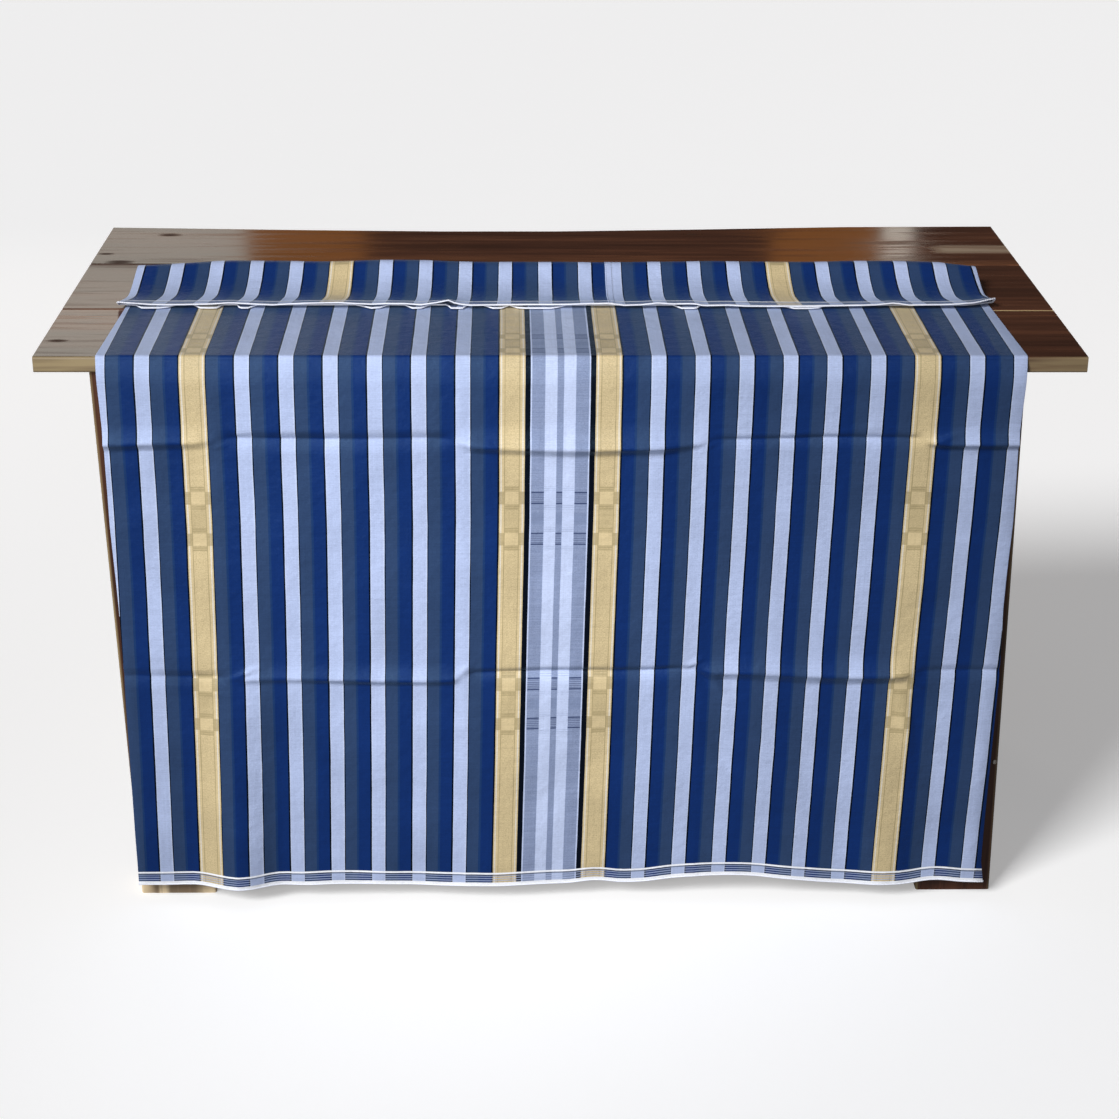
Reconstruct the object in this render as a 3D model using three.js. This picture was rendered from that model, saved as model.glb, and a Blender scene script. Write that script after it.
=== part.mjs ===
// A striped cotton sarong lying flat on a plain plank table.
// The sarong is a tube sewn from one length of cloth, pressed flat into a front and a back layer.
// It hangs down the table's front, lies on the top, and its last stretch is turned back over
// itself in a soft raised fold. Millimetres, +X right, +Y away from the viewer, +Z up, origin on
// the floor under the middle of the whole part.

import * as THREE from 'three';

// ---------------------------------------------------------------- driving dimensions

const TABLE_WIDTH = 1220;
const TABLE_HEIGHT = 721;
const BOARD_THICKNESS = 19;
const PLANK_WIDTHS = [188, 200, 197.6];        // front, middle and back plank
const BACK_EDGE = [                            // how much the back plank's hand-cut edge falls short
  { x: -610, cut: 12 },
  { x: -350, cut: 24 },
  { x: -160, cut: 30 },
  { x: 10, cut: 29 },
  { x: 200, cut: 18 },
  { x: 400, cut: 4 },
  { x: 610, cut: 0 },
];
const BACK_EDGE_STEPS = 24;
const EDGE_RADIUS = 3;                         // eased edges of every board
const LEG_WIDTH = 95;
const LEG_DEPTH = 45;
const LEG_INSET_X = 66;                        // top overhangs the legs at each end
const LEG_INSET_FRONT = 6;                     // a little at the front
const LEG_INSET_BACK = 34;                     // and more at the back, whose edge isn't straight
const RACK_TOP = -3.7;                         // the frame leans: its shift along X under the top
const RACK_FOOT = 10.6;                        // and at the floor
const APRON_HEIGHT = 70;
const APRON_THICKNESS = 20;
const APRON_SETBACK = 12;                      // apron face behind the leg face
const STRETCHER_HEIGHT = 60;
const STRETCHER_Z = 170;                       // middle of the side stretchers
const SEAT_GAP = 0.3;                          // between pieces that meet

const WALL = 1.0;                              // thickness of the cloth
const LAYER_GAP = 1.6;                         // space between the tube's two layers
const HEM_HEIGHT = 25;                         // lower selvedge above the floor
const FOLD_START = 289;                        // from the table's front edge to the raised fold
const FOLD_RADIUS = 12;                        // of the middle surface in the raised fold
const FOLD_TURN = 202;                         // degrees: up, over and down towards the flap
const SLOPE_LENGTH = 25;
const EASE_RADIUS = 120;                       // where the flap settles back to level
const FLAP_FLAT = 30;                          // level end of the flap
const SEAM_X = 62;                             // middle of the joining seam
const SEAM_WIDTH = 10;
const SEAM_THICKNESS = LAYER_GAP - 2 * SEAT_GAP;

// Side edges of the flattened tube, by distance along the cloth from the lower selvedge.
const SIDE_EDGES = [
  { distance: 0, left: -533, right: 538 },
  { distance: 350, left: -531, right: 536 },
  { distance: 697, left: -537, right: 538 },
  { distance: 1000, left: -531, right: 530 },
  { distance: 1130, left: -541, right: 538 },
];

// Soft flutes of the hanging stretch. Each is nothing at FLUTE_TOP and full at the lower selvedge.
const FLUTE_TOP = 420;
const HANG_FORWARD = 5;                        // whole lower selvedge stands off by this much
const FLUTES = [
  { x: -402, halfWidth: 62, forward: 24, lift: 0 },
  { x: -60, halfWidth: 115, forward: 12, lift: 0 },
  { x: 205, halfWidth: 125, forward: 0, lift: 7 },
  { x: 400, halfWidth: 70, forward: 10, lift: 0 },
];

// Packing creases, by distance from the lower selvedge. The sarong was folded lengthwise at
// FOLD_LINES first, so each crease turns from ridge to valley and back from panel to panel.
const FOLD_LINES = [-405, -117, 170, 430];
const FOLD_LINE_REACH = 12;
const CREASES = [
  { distance: 293, halfWidth: 14, ridge: -2.2 },           // in the outermost panels
  { distance: 595, halfWidth: 14, ridge: 2.2 },
];

// ---------------------------------------------------------------- worked out from them

const TABLE_DEPTH = PLANK_WIDTHS.reduce((sum, width) => sum + width, 0);
const LAYER_MIDDLE = SEAT_GAP + WALL + LAYER_GAP / 2;      // table surface to the middle surface
const OUTER_OFFSET = LAYER_GAP / 2 + WALL;
const INNER_OFFSET = LAYER_GAP / 2;
const CLOTH_REACH = LAYER_MIDDLE + OUTER_OFFSET + HANG_FORWARD
  + Math.max(...FLUTES.map((flute) => flute.forward));
const TABLE_FRONT = (CLOTH_REACH - TABLE_DEPTH) / 2;       // centres the whole part on Y
const BOARD_UNDERSIDE = TABLE_HEIGHT - BOARD_THICKNESS;
const FRAME_TOP = BOARD_UNDERSIDE - SEAT_GAP;
const LEG_CENTRE_X = TABLE_WIDTH / 2 - LEG_INSET_X - LEG_WIDTH / 2;
const LEG_FRONT_Y = TABLE_FRONT + LEG_INSET_FRONT + LEG_DEPTH / 2;
const LEG_BACK_Y = TABLE_FRONT + TABLE_DEPTH - LEG_INSET_BACK - LEG_DEPTH / 2;
const EDGE_BEND_RADIUS = EDGE_RADIUS + LAYER_MIDDLE;
const DROP_LENGTH = TABLE_HEIGHT - EDGE_RADIUS - HEM_HEIGHT;

const radians = THREE.MathUtils.degToRad;

// The route of the cloth's middle surface, from the lower selvedge on. A turn is in degrees,
// positive where the cloth turns up and back towards the viewer.
const ROUTE = [
  { name: 'drop', length: DROP_LENGTH, turn: 0, steps: 0 },
  { name: 'table edge', length: EDGE_BEND_RADIUS * radians(90), turn: -90, steps: 6 },
  { name: 'run', length: FOLD_START - EDGE_RADIUS, turn: 0, steps: 2 },
  { name: 'raised fold', length: FOLD_RADIUS * radians(FOLD_TURN), turn: FOLD_TURN, steps: 10 },
  { name: 'slope', length: SLOPE_LENGTH, turn: 0, steps: 1 },
  { name: 'easing', length: EASE_RADIUS * radians(FOLD_TURN - 180), turn: 180 - FOLD_TURN, steps: 4 },
  { name: 'flap end', length: FLAP_FLAT, turn: 0, steps: 1 },
];
const DROP_ROWS = [0, 70, 150, 225, 360, 460];             // as well as those of the creases

// ---------------------------------------------------------------- materials

const wood = () => new THREE.MeshStandardMaterial({ color: 0x5f3c25, roughness: 0.3, metalness: 0 });
const cotton = () => new THREE.MeshStandardMaterial({ color: 0x26406e, roughness: 0.85, metalness: 0 });
const paleCotton = () => new THREE.MeshStandardMaterial({ color: 0xb8c1e8, roughness: 0.85, metalness: 0 });

// ---------------------------------------------------------------- table

// Turns that point an extrusion along X, Y or Z, with its profile's two axes on the other two.
const turnTo = (x, y, z) => new THREE.Quaternion().setFromRotationMatrix(
  new THREE.Matrix4().makeBasis(new THREE.Vector3(...x), new THREE.Vector3(...y), new THREE.Vector3(...z)));
const ALONG = {
  x: turnTo([0, 1, 0], [0, 0, 1], [1, 0, 0]),              // profile in Y, Z
  y: turnTo([0, 0, 1], [1, 0, 0], [0, 1, 0]),              // profile in Z, X
  z: turnTo([1, 0, 0], [0, 1, 0], [0, 0, 1]),              // profile in X, Y
};

// Value of a table's named column at x or at a distance, straight between its rows.
function readTable(table, key, at, column) {
  const after = table.find((row) => row[key] >= at) ?? table.at(-1);
  const before = table[Math.max(table.indexOf(after) - 1, 0)];
  const span = after[key] - before[key];
  const share = span > 0 ? (at - before[key]) / span : 1;
  return THREE.MathUtils.lerp(before[column], after[column], share);
}

function board(name, along, profile, length, centre, steps = 1) {
  const [halfWidth, halfHeight] = profile.map((side) => side / 2);
  const shape = new THREE.Shape();
  const corners = [[1, 1, 0], [-1, 1, 90], [-1, -1, 180], [1, -1, 270]];
  for (const [sx, sy, start] of corners) {
    shape.absarc(sx * (halfWidth - EDGE_RADIUS), sy * (halfHeight - EDGE_RADIUS), EDGE_RADIUS,
      radians(start), radians(start + 90), false);
  }
  const geometry = new THREE.ExtrudeGeometry(shape,
    { depth: length, steps, bevelEnabled: false, curveSegments: 4 });
  geometry.translate(0, 0, -length / 2);
  const mesh = new THREE.Mesh(geometry, wood());
  mesh.name = name;
  mesh.quaternion.copy(ALONG[along]);
  mesh.position.set(...centre);
  return mesh;
}

function tableTop() {
  const names = ['top_plank_front', 'top_plank_middle', 'top_plank_back'];
  let front = TABLE_FRONT;
  return names.map((name, index) => {
    const joint = index < names.length - 1 ? SEAT_GAP : 0;
    const width = PLANK_WIDTHS[index] - joint;
    const middle = front + width / 2;
    front += PLANK_WIDTHS[index];
    const isBack = index === names.length - 1;
    const plank = board(name, 'x', [width, BOARD_THICKNESS], TABLE_WIDTH,
      [0, middle, TABLE_HEIGHT - BOARD_THICKNESS / 2], isBack ? BACK_EDGE_STEPS : 1);
    if (isBack) cutBackEdge(plank.geometry);
    return plank;
  });
}

// Moves the back half of a board along X towards its middle. The board's own axes are its width,
// its thickness and its length.
function cutBackEdge(geometry) {
  const points = geometry.attributes.position;
  for (let index = 0; index < points.count; index += 1) {
    if (points.getX(index) > 0) {
      points.setX(index, points.getX(index) - readTable(BACK_EDGE, 'x', points.getZ(index), 'cut'));
    }
  }
}

// Leans a piece of the frame along X with all the others, so that they still meet.
function rack(mesh) {
  const lean = (RACK_TOP - RACK_FOOT) / FRAME_TOP;
  mesh.updateMatrix();
  mesh.geometry.applyMatrix4(mesh.matrix);
  mesh.geometry.applyMatrix4(new THREE.Matrix4().set(
    1, 0, lean, RACK_FOOT, 0, 1, 0, 0, 0, 0, 1, 0, 0, 0, 0, 1));
  mesh.position.set(0, 0, 0);
  mesh.quaternion.identity();
  return mesh;
}

function tableFrame() {
  const pieces = [];
  const rows = [['front', LEG_FRONT_Y, 1], ['back', LEG_BACK_Y, -1]];
  const sides = [['left', -1], ['right', 1]];
  const railLength = 2 * LEG_CENTRE_X - LEG_WIDTH - 2 * SEAT_GAP;
  const sideLength = LEG_BACK_Y - LEG_FRONT_Y - LEG_DEPTH - 2 * SEAT_GAP;
  const sideMiddle = (LEG_FRONT_Y + LEG_BACK_Y) / 2;
  const apronZ = FRAME_TOP - APRON_HEIGHT / 2;
  const apronInset = APRON_SETBACK + APRON_THICKNESS / 2;

  for (const [row, y, inward] of rows) {
    for (const [side, sign] of sides) {
      pieces.push(board(`leg_${row}_${side}`, 'z', [LEG_WIDTH, LEG_DEPTH], FRAME_TOP,
        [sign * LEG_CENTRE_X, y, FRAME_TOP / 2]));
    }
    pieces.push(board(`apron_${row}`, 'x', [APRON_THICKNESS, APRON_HEIGHT], railLength,
      [0, y + inward * (apronInset - LEG_DEPTH / 2), apronZ]));
  }
  for (const [side, sign] of sides) {
    const x = sign * (LEG_CENTRE_X + LEG_WIDTH / 2 - apronInset);
    pieces.push(board(`apron_${side}`, 'y', [APRON_HEIGHT, APRON_THICKNESS], sideLength,
      [x, sideMiddle, apronZ]));
    pieces.push(board(`stretcher_${side}`, 'y', [STRETCHER_HEIGHT, APRON_THICKNESS], sideLength,
      [x, sideMiddle, STRETCHER_Z]));
  }
  return pieces.map(rack);
}

// ---------------------------------------------------------------- the cloth's middle surface

const smooth = (value) => {
  const t = THREE.MathUtils.clamp(value, 0, 1);
  return t * t * (3 - 2 * t);
};
const swell = (value) => (Math.abs(value) < 1 ? 0.5 + 0.5 * Math.cos(Math.PI * value) : 0);

// Y and Z of the route at a distance along the cloth.
function routePoint(distance) {
  let y = TABLE_FRONT - LAYER_MIDDLE;
  let z = HEM_HEIGHT;
  let heading = radians(90);
  let left = distance;
  for (const [index, leg] of ROUTE.entries()) {
    const last = index === ROUTE.length - 1;
    const length = last ? left : Math.min(left, leg.length);
    const turn = radians(leg.turn) * length / leg.length;
    if (turn === 0) {
      y += length * Math.cos(heading);
      z += length * Math.sin(heading);
    } else {
      const radius = length / turn;
      y += radius * (Math.sin(heading + turn) - Math.sin(heading));
      z += radius * (Math.cos(heading) - Math.cos(heading + turn));
      heading += turn;
    }
    left -= length;
    if (left <= 0) break;
  }
  return { y, z };
}

const sideEdges = (distance) => ({
  left: readTable(SIDE_EDGES, 'distance', distance, 'left'),
  right: readTable(SIDE_EDGES, 'distance', distance, 'right'),
});

// Plus or minus one by panel, passing through nothing at each lengthwise fold line.
const panelSign = (x) => FOLD_LINES.reduce(
  (sign, line) => sign * THREE.MathUtils.clamp((x - line) / FOLD_LINE_REACH, -1, 1), 1);

// A point of the middle surface: across runs from 0 at the left side fold to 1 at the right.
function middlePoint(across, distance) {
  const { left, right } = sideEdges(distance);
  const x = THREE.MathUtils.lerp(left, right, across);
  const route = routePoint(distance);
  const grown = smooth(1 - distance / FLUTE_TOP);
  let forward = HANG_FORWARD * grown;
  let lift = 0;
  for (const flute of FLUTES) {
    const share = grown * swell((x - flute.x) / flute.halfWidth);
    forward += flute.forward * share;
    lift += flute.lift * share;
  }
  for (const crease of CREASES) {
    forward += crease.ridge * panelSign(x) * swell((distance - crease.distance) / crease.halfWidth);
  }
  return new THREE.Vector3(x, route.y - forward, route.z + lift);
}

// The middle surface's point, its direction across, and its normal on the front layer's side.
function middleFrame(across, distance) {
  const stepAcross = 1e-4;
  const stepAlong = 0.05;
  const point = middlePoint(across, distance);
  const sideways = middlePoint(across + stepAcross, distance)
    .sub(middlePoint(across - stepAcross, distance)).normalize();
  const along = middlePoint(across, distance + stepAlong)
    .sub(middlePoint(across, Math.max(distance - stepAlong, 0)));
  const normal = new THREE.Vector3().crossVectors(sideways, along).normalize();
  return { point, sideways, normal };
}

// ---------------------------------------------------------------- rows and columns of the cloth

function clothRows() {
  const rows = [...DROP_ROWS];
  for (const crease of CREASES) {
    rows.push(crease.distance - crease.halfWidth, crease.distance, crease.distance + crease.halfWidth);
  }
  let start = 0;
  for (const leg of ROUTE) {
    for (let step = 1; step <= leg.steps; step += 1) rows.push(start + leg.length * step / leg.steps);
    start += leg.length;
  }
  rows.push(DROP_LENGTH);
  return rows.sort((a, b) => a - b);
}

// Columns are close together over the flutes and fill the rest at even spacing.
function clothColumns() {
  const widest = 62;
  const closest = 16;
  const { left, right } = sideEdges(0);
  const wanted = [left, right];
  for (const { x, halfWidth, forward, lift } of FLUTES) {
    const steps = forward > lift ? 3 : 2;
    for (let step = -steps; step <= steps; step += 1) wanted.push(x + halfWidth * step / steps);
  }
  const marks = [...wanted];
  for (const line of FOLD_LINES) {
    if (wanted.every((x) => Math.abs(x - line) > closest)) marks.push(line);
  }
  marks.sort((a, b) => a - b);
  const columns = [0];
  for (let index = 1; index < marks.length; index += 1) {
    const span = marks[index] - marks[index - 1];
    const pieces = Math.ceil(span / widest);
    for (let piece = 1; piece <= pieces; piece += 1) {
      columns.push((marks[index - 1] + span * piece / pieces - left) / (right - left));
    }
  }
  return columns;
}

// ---------------------------------------------------------------- closed solids from rings

function solidFromRings(name, material, rings, innerRings) {
  const points = [];
  const faces = [];
  const size = rings[0].length;
  const addRings = (list) => {
    const first = points.length;
    for (const ring of list) points.push(...ring);
    return (row, place) => first + row * size + (place % size);
  };
  const outer = addRings(rings);
  const inner = innerRings ? addRings(innerRings) : null;
  const quad = (a, b, c, d) => faces.push(a, b, c, a, c, d);
  const lastRow = rings.length - 1;

  for (let row = 0; row < lastRow; row += 1) {
    for (let place = 0; place < size; place += 1) {
      quad(outer(row, place), outer(row, place + 1), outer(row + 1, place + 1), outer(row + 1, place));
      if (inner) {
        quad(inner(row, place), inner(row + 1, place), inner(row + 1, place + 1), inner(row, place + 1));
      }
    }
  }
  if (inner) {
    for (let place = 0; place < size; place += 1) {
      quad(outer(0, place), inner(0, place), inner(0, place + 1), outer(0, place + 1));
      quad(outer(lastRow, place), outer(lastRow, place + 1),
        inner(lastRow, place + 1), inner(lastRow, place));
    }
  } else {
    quad(outer(0, 3), outer(0, 2), outer(0, 1), outer(0, 0));
    quad(outer(lastRow, 0), outer(lastRow, 1), outer(lastRow, 2), outer(lastRow, 3));
  }

  const geometry = new THREE.BufferGeometry().setFromPoints(points);
  geometry.setIndex(faces);
  geometry.computeVertexNormals();
  const mesh = new THREE.Mesh(geometry, material);
  mesh.name = name;
  return mesh;
}

// ---------------------------------------------------------------- the sarong

// One ring round the flattened tube: front layer left to right, right side fold, back layer, left fold.
function tubeRing(distance, columns, offset) {
  const sideSteps = 3;
  const frames = columns.map((across) => middleFrame(across, distance));
  const moved = ({ point, sideways, normal }, degrees) => point.clone()
    .addScaledVector(normal, offset * Math.cos(radians(degrees)))
    .addScaledVector(sideways, offset * Math.sin(radians(degrees)));
  const ring = frames.map((frame) => moved(frame, 0));
  for (let step = 1; step < sideSteps; step += 1) ring.push(moved(frames.at(-1), 180 * step / sideSteps));
  ring.push(...frames.toReversed().map((frame) => moved(frame, 180)));
  for (let step = 1; step < sideSteps; step += 1) ring.push(moved(frames[0], 180 + 180 * step / sideSteps));
  return ring;
}

function sarongTube() {
  const rows = clothRows();
  const columns = clothColumns();
  return solidFromRings('sarong_tube', cotton(),
    rows.map((distance) => tubeRing(distance, columns, OUTER_OFFSET)),
    rows.map((distance) => tubeRing(distance, columns, INNER_OFFSET)));
}

// The seam allowance that joins the cloth into a tube: a flat strip between the two layers.
function joiningSeam() {
  const rings = clothRows().map((distance) => {
    const { left, right } = sideEdges(distance);
    const corner = (side, face) => {
      const across = (SEAM_X + side * SEAM_WIDTH / 2 - left) / (right - left);
      const { point, normal } = middleFrame(across, distance);
      return point.addScaledVector(normal, face * SEAM_THICKNESS / 2);
    };
    return [corner(-1, 1), corner(1, 1), corner(1, -1), corner(-1, -1)];
  });
  return solidFromRings('joining_seam', paleCotton(), rings, null);
}

const group = new THREE.Group();
group.add(sarongTube(), joiningSeam(), ...tableTop(), ...tableFrame());

export default group;
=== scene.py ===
# %% [markdown]
# # A striped cotton sarong on a plank table
#
# The sarong is one length of handwoven cotton, sewn end to end into a tube and pressed flat into two
# layers. It hangs down the front of a plain varnished table, lies on the top, and its last stretch is
# turned back over itself in a soft raised fold, so that the flap shows the outside of the back layer.
#
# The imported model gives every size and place. The cloth is then modelled as two thin layers that follow the
# same route, with its creases, flutes and selvedges, and its stripes are worked out from the width of each
# stripe.

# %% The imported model
import math

import bpy
import numpy as np
from mathutils import Matrix, Vector


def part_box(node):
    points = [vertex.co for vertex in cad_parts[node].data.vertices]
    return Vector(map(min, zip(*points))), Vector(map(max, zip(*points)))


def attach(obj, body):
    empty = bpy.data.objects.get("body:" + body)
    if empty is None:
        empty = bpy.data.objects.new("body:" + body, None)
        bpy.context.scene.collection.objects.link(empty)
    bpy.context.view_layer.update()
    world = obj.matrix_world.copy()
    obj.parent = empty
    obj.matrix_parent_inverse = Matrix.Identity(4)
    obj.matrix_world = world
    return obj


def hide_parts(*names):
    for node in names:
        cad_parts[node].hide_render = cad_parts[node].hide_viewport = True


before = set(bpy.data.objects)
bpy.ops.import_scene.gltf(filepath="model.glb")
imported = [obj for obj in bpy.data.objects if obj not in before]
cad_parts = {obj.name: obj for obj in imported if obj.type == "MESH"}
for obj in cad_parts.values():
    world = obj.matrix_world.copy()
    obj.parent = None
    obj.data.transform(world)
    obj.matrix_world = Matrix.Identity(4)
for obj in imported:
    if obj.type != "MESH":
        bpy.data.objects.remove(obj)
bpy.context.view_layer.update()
plank_low, plank_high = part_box("top_plank_front")
TABLE_FRONT = plank_low[1]
TABLE_TOP = plank_high[2]
print("table front at", round(TABLE_FRONT, 4), "and top at", round(TABLE_TOP, 4))


def put(name, data):
    """An object in the scene that shows the data."""
    added = bpy.data.objects.new(name, data)
    bpy.context.scene.collection.objects.link(added)
    return added


# %% [markdown]
# ## Camera
#
# The camera stands in front of the table, a little above head height of a seated person, and looks down at
# it through a lens of about 72 mm. Its place is measured from the table's front edge, so it would follow
# the table.

# %% Camera
CAMERA_FROM_FRONT = (-0.055, -2.4577)
CAMERA_HEIGHT = 1.530
CAMERA_TURN, CAMERA_DIP, CAMERA_ROLL = (math.radians(angle) for angle in (1.23, 23.39, 0.4))
LENS_MM, SENSOR_MM = 71.86, 36.0


def make_camera():
    data = bpy.data.cameras.new("camera")
    data.lens = LENS_MM
    data.sensor_width = SENSOR_MM
    camera = put("camera", data)
    camera.location = (CAMERA_FROM_FRONT[0], TABLE_FRONT + CAMERA_FROM_FRONT[1], CAMERA_HEIGHT)
    camera.rotation_mode = "QUATERNION"
    aim = Matrix.Rotation(-CAMERA_TURN, 3, "Z") @ Matrix.Rotation(math.pi / 2 - CAMERA_DIP, 3, "X")
    camera.rotation_quaternion = (aim @ Matrix.Rotation(CAMERA_ROLL, 3, "Z")).to_quaternion()
    bpy.context.scene.camera = camera
    return camera


camera = make_camera()
print("camera at", tuple(round(value, 3) for value in camera.location))

# %% [markdown]
# ## The cloth's route
#
# Seen from the side, the cloth goes straight up the front of the table, round its edge, back along the top,
# up and over in a fold, and down towards the viewer until the flap lies level. Each stretch is either
# straight or an arc, so a length and a turn are enough to describe it.

# %% Route of the cloth from the lower selvedge
CLOTH = 0.0004  # thickness of the cotton
LAYER_OFFSET = 0.00055  # of each layer from the middle of the flattened tube
CLEARANCE = 0.00035  # under the back layer
MIDDLE = CLEARANCE + CLOTH / 2 + LAYER_OFFSET
PLANK_EDGE = 0.003
HEM_HEIGHT = 0.025
FOLD_START = 0.289
FOLD_RADIUS, FOLD_TURN = 0.012, 202
SLOPE = 0.0295
EASE_RADIUS = 0.120
FLAP_FLAT = 0.030

edge_bend = PLANK_EDGE + MIDDLE
route_legs = [  # length in metres, turn in degrees
    (TABLE_TOP - PLANK_EDGE - HEM_HEIGHT, 0),
    (edge_bend * math.radians(90), -90),
    (FOLD_START - PLANK_EDGE, 0),
    (FOLD_RADIUS * math.radians(FOLD_TURN), FOLD_TURN),
    (SLOPE, 0),
    (EASE_RADIUS * math.radians(FOLD_TURN - 180), 180 - FOLD_TURN),
    (FLAP_FLAT, 0),
]
LEG_ENDS = np.cumsum([length for length, turn in route_legs])
DROP, EDGE_END, RUN_END, FOLD_END, SLOPE_END, _, HEIGHT = LEG_ENDS
print("cloth from selvedge to selvedge:", round(float(HEIGHT), 4), "m")


def route(distance):
    """Y and Z of the tube's middle at each distance from the lower selvedge."""
    distance = np.asarray(distance, float)
    y = np.full(distance.shape, TABLE_FRONT - MIDDLE)
    z = np.full(distance.shape, HEM_HEIGHT)
    heading = np.full(distance.shape, math.pi / 2)
    start = 0.0
    for index, (length, degrees) in enumerate(route_legs):
        last = index == len(route_legs) - 1
        gone = np.clip(distance - start, 0.0, None if last else length)
        turn = math.radians(degrees) * gone / length
        if degrees:
            radius = length / math.radians(degrees)
            y = y + radius * (np.sin(heading + turn) - np.sin(heading))
            z = z + radius * (np.cos(heading) - np.cos(heading + turn))
        else:
            y = y + gone * np.cos(heading)
            z = z + gone * np.sin(heading)
        heading = heading + turn
        start += length
    return y, z


# %% [markdown]
# ## Relief of the hanging cloth
#
# Before it was laid out the sarong was packed: folded lengthwise into panels, then across twice. Each cross
# crease therefore turns from ridge to valley at every lengthwise fold, and small diagonal wrinkles sit
# where they meet. Below, the loose lower edge swings forward in a few soft flutes.
#
# A bump in the finish would be quicker, but it can't bend the stripes or catch the light from the side, so
# all of this is shape. Each crease is a soft ridge or trough, listed one by one along the cloth.

# %% Where the creases and flutes are
FOLD_LINES = (-0.405, -0.117, 0.170, 0.430)
UPPER_CREASE = [  # x, height, forward, reach above, reach below
    (-0.545, 0.595, 0.0026, 0.016, 0.01), (-0.43, 0.5945, 0.003, 0.016, 0.01),
    (-0.385, 0.599, -0.002, 0.009, 0.012), (-0.24, 0.5985, -0.0024, 0.01, 0.013),
    (-0.14, 0.5985, -0.0018, 0.009, 0.012), (-0.105, 0.5905, 0.0026, 0.02, 0.01),
    (0.0, 0.588, 0.004, 0.024, 0.011), (0.12, 0.5895, 0.0036, 0.022, 0.011),
    (0.16, 0.5935, 0.0015, 0.014, 0.008), (0.185, 0.5985, -0.0016, 0.006, 0.009),
    (0.3, 0.6, -0.0017, 0.006, 0.01), (0.415, 0.599, -0.0016, 0.006, 0.009),
    (0.44, 0.5945, 0.0032, 0.018, 0.008), (0.545, 0.5945, 0.0026, 0.014, 0.008),
]
LOWER_CREASE = [
    (-0.545, 0.293, -0.0012, 0.01, 0.012), (-0.42, 0.2925, -0.0016, 0.01, 0.012),
    (-0.38, 0.2895, 0.0018, 0.014, 0.008), (-0.25, 0.2885, 0.0028, 0.018, 0.009),
    (-0.135, 0.288, 0.0026, 0.016, 0.009), (-0.105, 0.2955, -0.0018, 0.006, 0.01),
    (0.0, 0.2965, -0.0024, 0.007, 0.012), (0.12, 0.2975, -0.0024, 0.007, 0.012),
    (0.155, 0.3, -0.0012, 0.006, 0.01), (0.19, 0.2945, 0.0026, 0.018, 0.012),
    (0.3, 0.293, 0.0034, 0.022, 0.014), (0.415, 0.2925, 0.0028, 0.018, 0.012),
    (0.445, 0.296, -0.0014, 0.008, 0.012), (0.545, 0.296, -0.0014, 0.008, 0.012),
]
FLUTES = [  # x, half width, forward, lift, height where it starts
    (-0.3955, 0.06, 0.015, 0.0, 0.36),
    (-0.345, 0.045, 0.0, 0.001, 0.25),
    (-0.265, 0.07, 0.0, 0.0015, 0.25),
    (-0.08, 0.11, 0.006, 0.0, 0.42),
    (0.035, 0.04, 0.0, 0.004, 0.2),
    (0.105, 0.035, 0.0015, 0.0, 0.15),
    (0.205, 0.15, 0.0, 0.012, 0.42),
    (0.4, 0.065, 0.008, 0.0, 0.38),
    (0.468, 0.04, 0.0, 0.003, 0.2),
]
CREASE_SCALE = 2.5
RIDGE_REACH, VALLEY_REACH = (1.4, 1.0), (1.1, 1.5)  # scales of the reach above and below a crest
FOLD_LINE_HALF, FOLD_LINE_RISE = 0.012, 0.0006
HANG_FORWARD, HANG_TOP = 0.0030, 0.42  # how far the lower edge hangs forward, and from what height
LAYERS_PART, PART_TOP = 0.0016, 0.5  # how far each layer swings from the middle at the lower edge
FLUTE_LEAN = 0.009
SOFT_HANG, SOFT_LIFT = 0.0017, 0.0011  # soft unevenness of the hanging cloth and of its lower edge
BACK_FLUTE = 0.6  # share of each flute that the back layer follows
SHOULDER, SHOULDER_DROP = 0.0080, 0.030  # how far the cloth bows out below the table's edge
print("2 cross creases,", len(FOLD_LINES), "lengthwise folds and", len(FLUTES), "flutes")


# %% Relief of the packing creases
def smooth(value):
    value = np.clip(value, 0.0, 1.0)
    return value * value * (3 - 2 * value)


def swell(value):
    return np.where(np.abs(value) < 1, 0.5 + 0.5 * np.cos(np.pi * value), 0.0)


def read_table(table, place):
    """The columns of a table after the first, at places along the first."""
    rows = np.array(table)
    return [np.interp(place, rows[:, 0], rows[:, column]) for column in range(1, rows.shape[1])]


def creases(x, height):
    """How far the packing creases stand forward. Each is sharp at its crest and fades above and below."""
    total = np.zeros_like(x)
    for table in (UPPER_CREASE, LOWER_CREASE):
        place, forward, above, below = read_table(table, x)
        start_height = table[0][1]
        gap = height - place - 0.0010 * np.sin(23.0 * x + start_height * 9)
        above = above * np.where(forward > 0, RIDGE_REACH[0], VALLEY_REACH[0])
        below = below * np.where(forward > 0, RIDGE_REACH[1], VALLEY_REACH[1])
        sharp = np.where((gap > 0) == (forward > 0), 2.0, 1.3)
        near = np.clip(1 - np.abs(gap) / np.where(gap > 0, above, below), 0, 1) ** sharp
        total += CREASE_SCALE * forward * (1.0 + 0.15 * np.sin(31.0 * x + start_height * 30)) * near
    for line in FOLD_LINES:
        near = np.clip(1 - np.abs(x - line) / FOLD_LINE_HALF, 0, 1) ** 2
        total += FOLD_LINE_RISE * near * smooth((DROP - height) / 0.05)
    return total


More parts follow.
